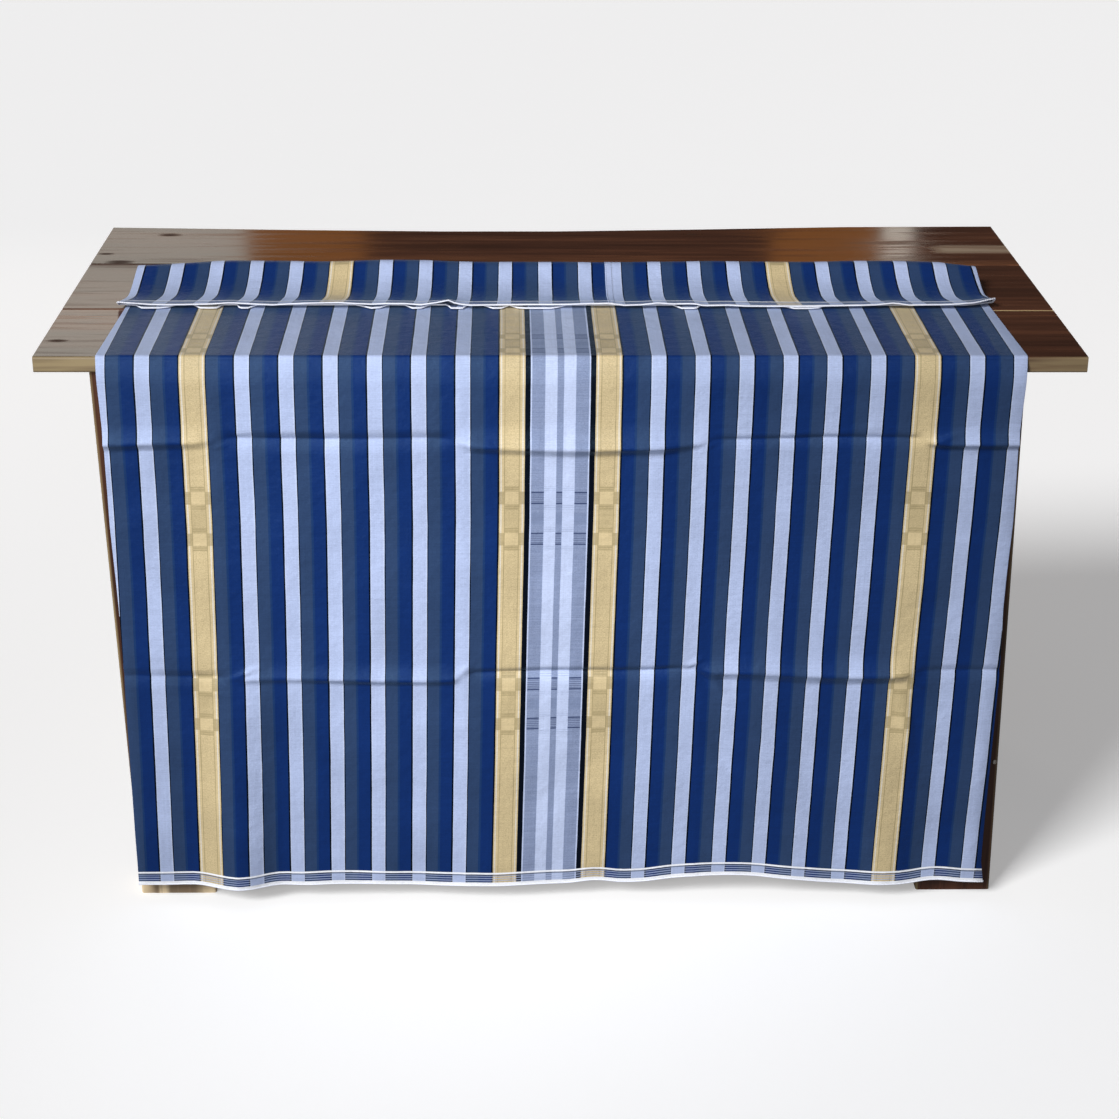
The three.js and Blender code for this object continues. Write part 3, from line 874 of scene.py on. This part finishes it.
def copies(path, pitch, pattern, size=(1.0, 1.0, 1.0)):
    """Copies of a pattern along a path, a pitch apart and turned to follow it."""
    spaced = path.node("GeometryNodeCurveToPoints", {"Curve": path, "Length": pitch}, mode="LENGTH")
    places = {name: Wire(path.tree, spaced.socket.node.outputs[name]) for name in ("Points", "Rotation")}
    return path.node("GeometryNodeInstanceOnPoints", {**places, "Instance": pattern, "Scale": size})


def guide_mesh(name, lines, closed=False):
    """Each line of points as edges of one mesh."""
    vertices, edges = [], []
    for line in lines:
        first, count = len(vertices), len(line)
        vertices += np.asarray(line).tolist()
        edges += [(first + i, first + i + 1) for i in range(count - 1)]
        if closed:
            edges.append((first + count - 1, first))
    mesh = bpy.data.meshes.new(name)
    mesh.from_pydata(vertices, edges, [])
    return mesh


def grow(name, guide, tree, sizes):
    """Runs a tree on a guide mesh and keeps what it makes as a plain mesh piece."""
    holder = put(f"{name}_guide", guide)
    modifier = holder.modifiers.new("pattern", "NODES")
    modifier.node_group = tree
    for item in tree.interface.items_tree:
        if item.in_out == "INPUT" and item.name in sizes:
            modifier[item.identifier] = sizes[item.name]
    made = holder.evaluated_get(bpy.context.evaluated_depsgraph_get())
    mesh = bpy.data.meshes.new_from_object(made)
    bpy.data.objects.remove(holder)
    mesh.name = name
    piece = put(name, mesh)
    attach(piece, "root")
    return piece


# %% [markdown]
# ## Thread
#
# Sewing thread and selvedge yarn are too thin to carry a pattern of their own beyond a slight unevenness
# and the soft shine of twisted cotton.

# %% Thread finish
def thread_finish(name, tone, darker):
    finish, start = new_finish(name)
    place = object_place(start)
    uneven = noise(place, 900.0, 2.0)
    twist = noise(place, 2600.0, 1.0)
    shade = uneven.above(0.5, 0.5).tint(tone, darker)
    end_finish(start, {"Base Color": shade, "Roughness": 0.45 + uneven * 0.2,
                       "Normal": bump(twist * 0.0001, 0.6), "Specular IOR Level": 0.3})
    return finish


white_yarn = thread_finish("selvedge_yarn", SELVEDGE, colour(222, 226, 240))
seam_thread = thread_finish("seam_thread", colour(36, 44, 84), colour(22, 28, 60))
print("thread finishes:", white_yarn.name, seam_thread.name)

# %% [markdown]
# ## Selvedges
#
# At each selvedge the weft turns back round a bundle of thicker white warps, which leaves a firm round edge
# with a loop at every turn. A cord follows the edge all the way round the tube, and short rings stand for
# the loops.

# %% Selvedge cords with their weft loops
CORD_RADIUS, LOOP_PITCH, LOOP_THREAD = 0.00095, 0.0024, 0.00022


def selvedge_tree():
    tree, wire = new_tree("selvedge_cord", "Cord radius", "Loop pitch", "Thread radius")
    edge = wire["Guide"].node("GeometryNodeMeshToCurve", {0: wire["Guide"]})
    cord = sweep(edge, circle(edge, 6, wire["Cord radius"]))
    loop = sweep(circle(edge, 8, wire["Cord radius"]), circle(edge, 4, wire["Thread radius"]))
    both = tree.nodes.new("GeometryNodeJoinGeometry")
    for part in (copies(edge, wire["Loop pitch"], loop), cord):
        tree.links.new(part.socket, both.inputs[0])
    return end_tree(tree, Wire(tree, both.outputs[0]), white_yarn)


SELVEDGES = {"selvedge_lower": 0, "selvedge_upper": -1}
selvedge_sizes = {"Cord radius": CORD_RADIUS, "Loop pitch": LOOP_PITCH, "Thread radius": LOOP_THREAD}
cord_tree = selvedge_tree()
selvedges = [grow(name, guide_mesh(name, [points[row]], closed=True), cord_tree, selvedge_sizes)
             for name, row in SELVEDGES.items()]
for piece in selvedges:
    print(piece.name, "faces:", len(piece.data.polygons))

# %% [markdown]
# ## Stitches
#
# Two rows of lockstitch hold the lapped seam. Each stitch is a short thread that dips into the cloth at
# both ends, so a small stretched ball, half sunk, is all that is needed of it.

# %% Rows of stitches along the seam
STITCH_PITCH, STITCH_LENGTH, STITCH_RADIUS = 0.0032, 0.0025, 0.00024
STITCH_ROWS = (-0.0034, 0.0034)
BALL_SEGMENTS, BALL_RINGS = 6, 5


def stitch_tree():
    tree, wire = new_tree("stitches", "Pitch", "Stitch length", "Thread radius")
    path = wire["Guide"].node("GeometryNodeMeshToCurve", {0: wire["Guide"]})
    thread = wire["Thread radius"]
    size = path.node("ShaderNodeCombineXYZ", {0: thread, 1: thread, 2: wire["Stitch length"] * 0.5})
    rows = copies(path, wire["Pitch"], ball(path, BALL_SEGMENTS, BALL_RINGS), size)
    return end_tree(tree, rows, seam_thread)


stitch_lines = [seam_line(aside, CLOTH / 2 + SEAM_RISE) for aside in STITCH_ROWS]
stitches = grow("seam_stitches", guide_mesh("seam_stitches", stitch_lines), stitch_tree(),
                {"Pitch": STITCH_PITCH, "Stitch length": STITCH_LENGTH, "Thread radius": STITCH_RADIUS})
print("stitches:", len(stitches.data.polygons) // (BALL_SEGMENTS * BALL_RINGS))
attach(seam, "root")

# %% [markdown]
# ## Varnished wood
#
# The table is plain sawn board under a glossy red-brown varnish. The grain runs along each board, so one
# finish is made for each board, from noise stretched along it. The varnish is worn off along the front edge
# and at the feet of the left legs, where the uncovered wood is pale and dull, and a few knots show on the
# top.
# Those feet are also painted paler, a painted highlight for the light that falls on the left. A pale line at
# the right end of the gap between the planks is a painted highlight, and a pale streak at the right of the
# back plank is a painted reflection.

# %% Colours of the wood, its worn places and its painted light
WOOD_DARK = colour(58, 36, 27)
WOOD_MID = colour(88, 55, 40)
WOOD_LIGHT = colour(128, 84, 56)
WOOD_STOPS = [(0.25, WOOD_DARK), (0.5, WOOD_MID), (0.85, WOOD_LIGHT)]
WORN_WOOD = colour(160, 141, 104)
# painted highlight: the pale line at the right end of the gap between the planks stands in for light caught
# by its edge
JOINT_HIGHLIGHT = colour(226, 204, 150)
# uncovered wood at the feet, made paler still as a painted highlight for the light on the left feet
BARE_AND_LIT_FOOT = colour(244, 220, 180)
# painted reflection: the pale streak at the right end of the back plank
STREAK_REFLECTION_TONE = colour(150, 132, 112)
KNOT = colour(46, 24, 12)
KNOTS = [(-0.527, 0.256, 0.010), (-0.598, 0.160, 0.007), (-0.573, 0.121, 0.012), (0.190, 0.262, 0.008),
         (-0.592, -0.215, 0.008)]
STREAK_REFLECTION_Y = (0.170, 0.205)  # Y of a pale streak on the back plank, at the right: a painted reflection
# only the left legs, which the light falls on: their pale feet are worn wood and painted highlight together
WORN_AND_LIT_FEET = {"leg_front_left": 0.020, "leg_back_left": 0.016}
LEG_GLOSS, TOP_GLOSS, WORN_ROUGH = 0.3, 0.55, 0.45
LEG_LEAN_HEIGHT, LEG_ROUNDING = 0.60, 0.004  # height over which a leg's lean is taken


# the worn feet are also painted paler, a painted highlight
print(len(KNOTS), "knots and", len(WORN_AND_LIT_FEET), "worn feet")


# %% Knots and leaning legs
def knot_mask(x, y):
    """1 at the middle of each knot of the top, fading out in rings."""
    total = None
    for knot_x, knot_y, size in KNOTS:
        from_x = (x - knot_x) * (0.5 / size)
        from_y = (y - knot_y) * (1.0 / size)
        away = (from_x * from_x + from_y * from_y).math("SQRT")
        mark = away.below(0.6, 0.7) * 0.8
        total = mark if total is None else total.math("MAXIMUM", mark)
    return total


def leg_face(name, axis, side, height):
    """Where a leg's low (0) or high (1) face along an axis is at a height. The legs lean a little."""
    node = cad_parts[name]
    corners = np.array([node.matrix_world @ vertex.co for vertex in node.data.vertices])
    ends = corners[:, 2].min(), corners[:, 2].max()
    rims = [corners[np.abs(corners[:, 2] - end) < LEG_ROUNDING, axis] for end in ends]
    return float(np.interp(height, ends, [(rim.min(), rim.max())[side] for rim in rims]))


# %% What is worn off each board, and the painted highlights and reflection on it
def wear_and_painted_light(name, x, y, z, grain, lines):
    """Masks of worn places and of painted light on a board, each with the colour it shows and how much duller
    it is.
    """
    ragged = (grain - 0.5) * 0.03 + (lines - 0.5) * 0.02
    if name == "top_plank_front":
        # painted highlight along the gap between the planks, at the right end of the front plank
        joint_highlight = (y + ragged * 0.02).above(plank_high[1] - 0.0050, 0.001) * x.above(0.47, 0.05)
        patches = lines.below(0.56, 0.25) * 0.55 + (0.35 - x.above(0.45, 0.1) * 0.30)
        edge = (y + ragged * 0.12).below(TABLE_FRONT + 0.0025, 0.002) * patches
        return [(joint_highlight, JOINT_HIGHLIGHT, 0.0), (edge, WORN_WOOD, WORN_ROUGH)]
    if name == "top_plank_back":
        # painted reflection: a pale streak at the right end of the back plank
        streak = (y + ragged * 0.4).between(*STREAK_REFLECTION_Y, 0.010)
        streak_reflection = (x + ragged * 1.5).above(0.515, 0.02) * streak * (0.4 + lines.below(0.55, 0.2) * 0.6)
        return [(streak_reflection, STREAK_REFLECTION_TONE, WORN_ROUGH)]
    masks = []
    if name.startswith("leg"):
        foot, top = leg_face(name, 0, 0, 0.0), leg_face(name, 0, 0, LEG_LEAN_HEIGHT)
        half = (leg_face(name, 0, 1, 0.0) - foot) / 2
        from_middle = abs(x - z * ((top - foot) / LEG_LEAN_HEIGHT) - (foot + half))
        corner = from_middle.above(half - 0.0025, 0.0030) * (0.3 + lines.above(0.5, 0.2) * 0.5)
        masks.append((corner, WORN_WOOD, 0.0))
    # pale feet of the left legs: worn wood, with a painted highlight for the light that falls on them
    if name in WORN_AND_LIT_FEET:
        patches = 1 - grain.above(0.50, 0.10) * x.between(-0.525, -0.455, 0.02) * 0.75
        masks.append(((z + ragged).below(WORN_AND_LIT_FEET[name], 0.012) * patches, BARE_AND_LIT_FOOT, WORN_ROUGH))
    return masks


# %% Wood finish along X, Y or Z
def wood_finish(name, stretch, seed):
    finish, start = new_finish(f"wood_{name}")
    place = object_place(start)
    x, y, z = split(place)
    shift = (seed, seed * 0.7, seed * 1.3)
    mapped = start.node("ShaderNodeMapping", {"Vector": place, "Location": shift, "Scale": stretch})
    grain = noise(mapped, 26.0, 6.0, 0.6)
    lines = noise(mapped, 90.0, 3.0)
    pores = noise(mapped, 240.0, 2.0)
    rings = (noise(mapped, 3.0, 3.0) * 11.0 + grain * 0.8).math("SINE") * 0.5 + 0.5
    figure = rings * 0.35 + grain * 0.7 + lines * 0.35 - 0.2
    tone = start.node("ShaderNodeValToRGB", {0: figure}, stops=WOOD_STOPS)
    tone = (pores.above(0.60, 0.1) * 0.55).tint(tone, WOOD_DARK)
    rough = lines.above(0.55, 0.12) * 0.14 + (0.09 + grain * 0.08)
    gloss = LEG_GLOSS
    if name.startswith("top_plank"):
        gloss = TOP_GLOSS
        knots = knot_mask(x, y)
        dull = abs(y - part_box("top_plank_back")[0][1]).below(0.020, 0.025) * x.below(-0.43, 0.06)
        tone = knots.tint(tone, KNOT)
        rough = rough + knots * 0.5 + dull * grain.above(0.42, 0.2) * 0.35
    # each mask is worn wood, a painted highlight or a painted reflection
    for mask, mark_tone, dulling in wear_and_painted_light(name, x, y, z, grain, lines):
        tone = mask.tint(tone, mark_tone)
        rough = rough + mask * dulling
    relief = grain * 0.00010 + lines * 0.00006 + pores * 0.00003
    end_finish(start, {"Base Color": tone, "Roughness": rough, "Normal": bump(relief, 0.6),
                       "Specular IOR Level": gloss})
    return finish


# %% A finish for each board
GRAIN_ALONG = {"x": (0.06, 1.0, 1.0), "y": (1.0, 0.06, 1.0), "z": (1.0, 1.0, 0.06)}
BOARD_GRAIN = {"top_plank": "x", "leg": "z", "apron_front": "x", "apron_back": "x", "apron_left": "y",
               "apron_right": "y", "stretcher": "y"}


def dress_table():
    boards = [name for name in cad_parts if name.startswith(tuple(BOARD_GRAIN))]
    for number, name in enumerate(sorted(boards)):
        along = next(axis for start, axis in BOARD_GRAIN.items() if name.startswith(start))
        finish = wood_finish(name, GRAIN_ALONG[along], 2.3 * number)
        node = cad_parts[name]
        node.data.materials.clear()
        node.data.materials.append(finish)
    return boards


boards = dress_table()
print(len(boards), "boards")

# %% [markdown]
# ## Nails
#
# The legs are held to the side stretchers by nails, whose flat heads are left to show. They are domes, half
# sunk in the wood, one on each leg.

# %% Nail heads on the legs
NAIL_RADIUS, NAIL_FLATNESS, NAIL_INSET = 0.0032, 0.35, 0.0045
NAIL_HEIGHTS = {"left": 0.176, "right": 0.186}


def nail_places():
    places = []
    for side, height in NAIL_HEIGHTS.items():
        for end, face in (("front", 0), ("back", 1)):
            name = f"leg_{end}_{side}"
            outer, inward = (0, NAIL_INSET) if side == "left" else (1, -NAIL_INSET)
            x = leg_face(name, 0, outer, height) + inward
            places.append((x, leg_face(name, 1, face, height), height))
    return places


def nail_tree(finish):
    tree, wire = new_tree("nails", "Head radius")
    spots = wire["Guide"].node("GeometryNodeMeshToPoints", {0: wire["Guide"]})
    radius = wire["Head radius"]
    size = spots.node("ShaderNodeCombineXYZ", {0: radius, 1: radius * NAIL_FLATNESS, 2: radius})
    heads = spots.node("GeometryNodeInstanceOnPoints",
                       {"Points": spots, "Instance": ball(spots, 12, 8), "Scale": size})
    return end_tree(tree, heads, finish)


def nail_finish():
    finish, start = new_finish("nail_steel")
    rust = noise(object_place(start), 700.0, 3.0)
    tone = rust.above(0.58, 0.15).tint(colour(196, 190, 180), colour(120, 82, 56))
    end_finish(start, {"Base Color": tone, "Roughness": rust * 0.3 + 0.2, "Metallic": 1.0})
    return finish


nail_guide = bpy.data.meshes.new("nail_heads")
nail_guide.from_pydata(nail_places(), [], [])
nails = grow("nail_heads", nail_guide, nail_tree(nail_finish()), {"Head radius": NAIL_RADIUS})
print("nail heads:", len(nail_places()))

# %% [markdown]
# ## Floor and light
#
# One large soft light falls from the front left and draws the shadow to the right. A soft spot evens out
# the front of the cloth. Cards of light far behind the table are seen only as reflections in the varnish.
# The floor has no edge in view, and it sends no light back, so the creases keep their depth.

# %% Floor
FLOOR_HALF, FLOOR_GLOW, FLOOR_TONE = 14.0, 0.315, (0.80, 0.80, 0.80, 1.0)


def make_floor():
    mesh = bpy.data.meshes.new("floor")
    corners = [(FLOOR_HALF * x, FLOOR_HALF * y, 0) for x, y in ((-1, -1), (1, -1), (1, 1), (-1, 1))]
    mesh.from_pydata(corners, [], [(0, 1, 2, 3)])
    floor = put("floor", mesh)
    finish, start = new_finish("floor_pale")
    end_finish(start, {"Base Color": FLOOR_TONE, "Roughness": 0.9, "Specular IOR Level": 0.0,
                       "Emission Color": (1.0, 1.0, 1.0, 1.0), "Emission Strength": FLOOR_GLOW})
    mesh.materials.append(finish)
    floor.visible_diffuse = False
    floor.visible_glossy = False


make_floor()
print("floor reaches", FLOOR_HALF, "m each way")

# %% Sun and spot
KEY_FROM_LEFT, KEY_UP = math.radians(45), math.radians(38)
KEY_STRENGTH, KEY_SPREAD = 2.9, math.radians(20)
SPOT_PLACE, SPOT_TARGET = (-0.95, -2.2, 1.20), (-0.14, -0.28, 0.48)
SPOT_CONE, SPOT_SOFTNESS, SPOT_WATTS = math.radians(37), 0.30, 136


def add_light(name, kind, place, target):
    light = put(name, bpy.data.lights.new(name, kind))
    light.location = place
    light.rotation_mode = "QUATERNION"
    light.rotation_quaternion = (Vector(target) - Vector(place)).to_track_quat("-Z", "Y")
    return light


def make_key():
    flat = math.cos(KEY_UP)
    towards = (-math.sin(KEY_FROM_LEFT) * flat, -math.cos(KEY_FROM_LEFT) * flat, math.sin(KEY_UP))
    key = add_light("key", "SUN", [5 * part for part in towards], (0, 0, 0))
    key.data.energy = KEY_STRENGTH
    key.data.angle = KEY_SPREAD


def make_spot():
    light = add_light("front_spot", "SPOT", SPOT_PLACE, SPOT_TARGET)
    light.data.spot_size = SPOT_CONE
    light.data.spot_blend = 1.0
    light.data.shadow_soft_size = SPOT_SOFTNESS
    light.data.energy = SPOT_WATTS


make_key()
make_spot()
print("sun from the left at", KEY_STRENGTH, "and a spot of", SPOT_WATTS, "W")

# %% Cards of light that the varnish mirrors
CARD_Y = 3.0
WARM, ORANGE, CREAMY = (1.00, 0.95, 0.84), (1.00, 0.36, 0.06), (1.00, 0.92, 0.80)
CARDS = [  # x from, x to, z from, z to, radiance, tint
    (-1.60, -0.76, 1.00, 1.62, 0.90, WARM), (-1.60, -0.76, 1.62, 2.40, 1.25, WARM),
    (-0.76, -0.45, 1.00, 2.30, 0.42, ORANGE), (0.62, 0.905, 1.00, 1.90, 0.42, ORANGE),
    (0.915, 0.995, 1.00, 1.60, 1.50, CREAMY),
]


def make_cards():
    for number, (left, right, low, high, radiance, tint) in enumerate(CARDS):
        x, z, width, height = (left + right) / 2, (low + high) / 2, right - left, high - low
        light = add_light(f"card_{number}", "AREA", (x, CARD_Y, z), (x, 0, z))
        light.data.shape = "RECTANGLE"
        light.data.size, light.data.size_y = width, height
        light.data.energy = radiance * math.pi * width * height
        light.data.color = tint
        light.visible_camera = False


make_cards()
print(len(CARDS), "cards")

# %% The room
ROOM_STOPS = [(0.0, (0.035, 0.022, 0.018, 1)), (0.35, (0.05, 0.04, 0.035, 1)), (0.75, (0.20, 0.205, 0.22, 1))]
ROOM_TURN, ROOM_MIDDLE, ROOM_PALE = -0.8, 0.45, (0.887, 0.887, 0.887, 1.0)


def make_world():
    """Pale where the camera looks, and a room that is bright in front and dark behind for all the rest."""
    world = bpy.data.worlds.new("studio")
    world.use_nodes = True
    world.node_tree.nodes.clear()
    start = Wire(world.node_tree)
    towards_viewer = split(start.node("ShaderNodeTexCoord"))[1] * ROOM_TURN + ROOM_MIDDLE
    room = start.node("ShaderNodeValToRGB", {0: towards_viewer}, stops=ROOM_STOPS)
    shade = start.node("ShaderNodeLightPath").tint(room, ROOM_PALE)
    background = start.node("ShaderNodeBackground", {"Color": shade, "Strength": 1.0})
    start.node("ShaderNodeOutputWorld", {"Surface": background})
    bpy.context.scene.world = world


make_world()
bpy.context.scene.view_settings.view_transform = "Standard"
print("room stops:", len(ROOM_STOPS))
